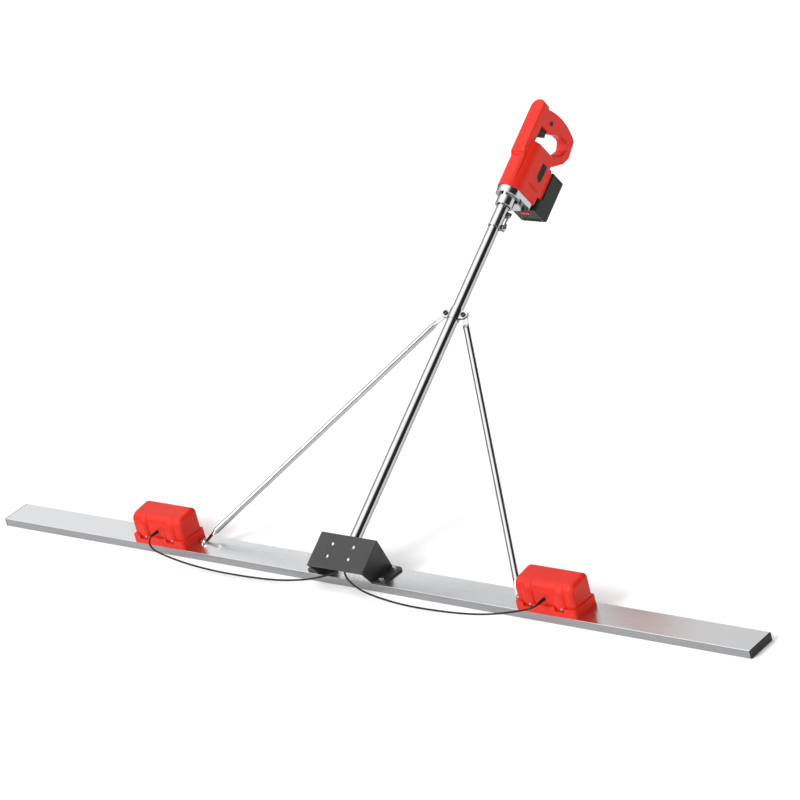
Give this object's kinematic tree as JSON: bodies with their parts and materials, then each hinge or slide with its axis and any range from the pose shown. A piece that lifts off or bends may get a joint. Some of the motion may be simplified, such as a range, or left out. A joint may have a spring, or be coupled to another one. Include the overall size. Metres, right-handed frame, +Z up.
{
  "type": "power screed",
  "caption": "Cordless power screed: flat aluminium board with vibrator units, braced pole on a folded bracket, swivelling battery head with a D-handle.",
  "frame": {"origin": "centre of the board's flat sole", "axes": "+X along the board towards the side with the lock button, +Y from the board towards the operator, +Z up"},
  "size_m": [2.5, 1.2836, 0.842],
  "materials": {
    "board_aluminium": "long brushed extrusion",
    "black_plastic": "fine grain",
    "black_powder_coat": "satin powder coat",
    "zinc_steel": "bright zinc plate",
    "black_steel": "black oxide",
    "chrome_tube": "polished chrome",
    "cast_aluminium": "satin die casting",
    "red_plastic": "semi-gloss moulding",
    "green_grey_plastic": "fine grain",
    "cord_rubber": "smooth",
    "motor_steel": "satin",
    "bearing_steel": "ground",
    "cast_weight": "machined",
    "circuit_board": "matt",
    "copper_contact": "bright",
    "cell_wrap": "film",
    "spring_steel": "bright wire",
    "button_red": "semi-gloss"
  },
  "bodies": {
    "frame": {"board_extrusion": "board_aluminium", "end_cap_left": "black_plastic", "end_cap_right": "black_plastic", "bracket": "black_powder_coat", "bracket_foot_bolts": "zinc_steel", "plate_screws": "zinc_steel", "pole_clamp_block": "cast_aluminium", "junction_box": "black_plastic", "junction_glands": "black_plastic", "pole_tube": "chrome_tube", "strut_collar_upper": "chrome_tube", "strut_collar_lower": "chrome_tube", "collar_bolts": "black_steel", "collar_nuts": "black_steel", "strut_left": "chrome_tube", "strut_right": "chrome_tube", "strut_foot_bolts": "zinc_steel", "vibrator_cover_left": "red_plastic", "vibrator_cover_right": "red_plastic", "vibrator_base_left": "motor_steel", "vibrator_base_right": "motor_steel", "vibrator_motor_left": "motor_steel", "vibrator_motor_right": "motor_steel", "vibrator_saddle_left": "cast_aluminium", "vibrator_saddle_right": "cast_aluminium", "base_bolts": "zinc_steel", "cover_screws": "zinc_steel", "motor_bearings": "bearing_steel", "cable_boots": "black_plastic", "cord_left": "cord_rubber", "cord_right": "cord_rubber", "clamp_sleeve": "cast_aluminium", "lever_pin": "zinc_steel", "clamp_screw": "zinc_steel"},
    "rotor_left": {"rotor_shaft_left": "bearing_steel", "eccentric_weights_left": "cast_weight"},
    "rotor_right": {"rotor_shaft_right": "bearing_steel", "eccentric_weights_right": "cast_weight"},
    "lever": {"sleeve_lever": "zinc_steel"},
    "knob": {"clamp_knob": "zinc_steel"},
    "head": {"head_casting": "cast_aluminium", "swivel_spigot": "bearing_steel", "casting_screws": "black_steel", "head_shell_left": "red_plastic", "head_shell_right": "red_plastic", "shell_screws": "zinc_steel", "vent_grilles": "black_plastic", "trigger_switch": "black_plastic", "trigger_spring": "spring_steel", "control_board": "circuit_board", "heat_sink": "cast_aluminium", "battery_dock": "black_plastic", "battery_contacts": "copper_contact"},
    "trigger": {"trigger": "black_plastic"},
    "lock": {"lock_button": "black_plastic"},
    "battery": {"battery_case": "green_grey_plastic", "battery_lid": "green_grey_plastic", "battery_cells": "cell_wrap"},
    "release": {"battery_button": "button_red"}
  },
  "joints": [
    {"name": "rotor_left_spin", "type": "hinge", "parent": "frame", "child": "rotor_left", "pos_m": [-0.652, 0, 0.0634], "axis": [1, 0, 0], "continuous": true},
    {"name": "rotor_right_spin", "type": "hinge", "parent": "frame", "child": "rotor_right", "pos_m": [0.652, 0, 0.0634], "axis": [1, 0, 0], "continuous": true},
    {"name": "sleeve_lever_open", "type": "hinge", "parent": "frame", "child": "lever", "pos_m": [0.01626, 0.85677, 0.61542], "axis": [0.7071, -0.386, 0.5924], "range_deg": [0, 100]},
    {"name": "clamp_knob_turn", "type": "hinge", "parent": "frame", "child": "knob", "pos_m": [0.02475, 0.81939, 0.59951], "axis": [-0.7071, 0.386, -0.5924], "range_deg": [-180, 180]},
    {"name": "head_swivel", "type": "hinge", "parent": "frame", "child": "head", "pos_m": [0, 0.84956, 0.63014], "axis": [0, 0.8378, 0.546], "range_deg": [-90, 90]},
    {"name": "trigger_pull", "type": "slide", "parent": "head", "child": "trigger", "axis": [0, 0.8378, 0.546], "range_m": [0, 0.007], "stiffness_N_per_m": 700, "springref_m": -0.004, "deforming": ["trigger_spring"]},
    {"name": "lock_press", "type": "slide", "parent": "head", "child": "lock", "axis": [-1, 0, 0], "range_m": [0, 0.003], "stiffness_N_per_m": 500, "springref_m": -0.002},
    {"name": "battery_slide", "type": "slide", "parent": "head", "child": "battery", "axis": [0, -0.8378, -0.546], "range_m": [0, 0.075]},
    {"name": "release_press", "type": "slide", "parent": "battery", "child": "release", "axis": [0, 0.8378, 0.546], "range_m": [0, 0.003], "stiffness_N_per_m": 500, "springref_m": -0.002}
  ]
}
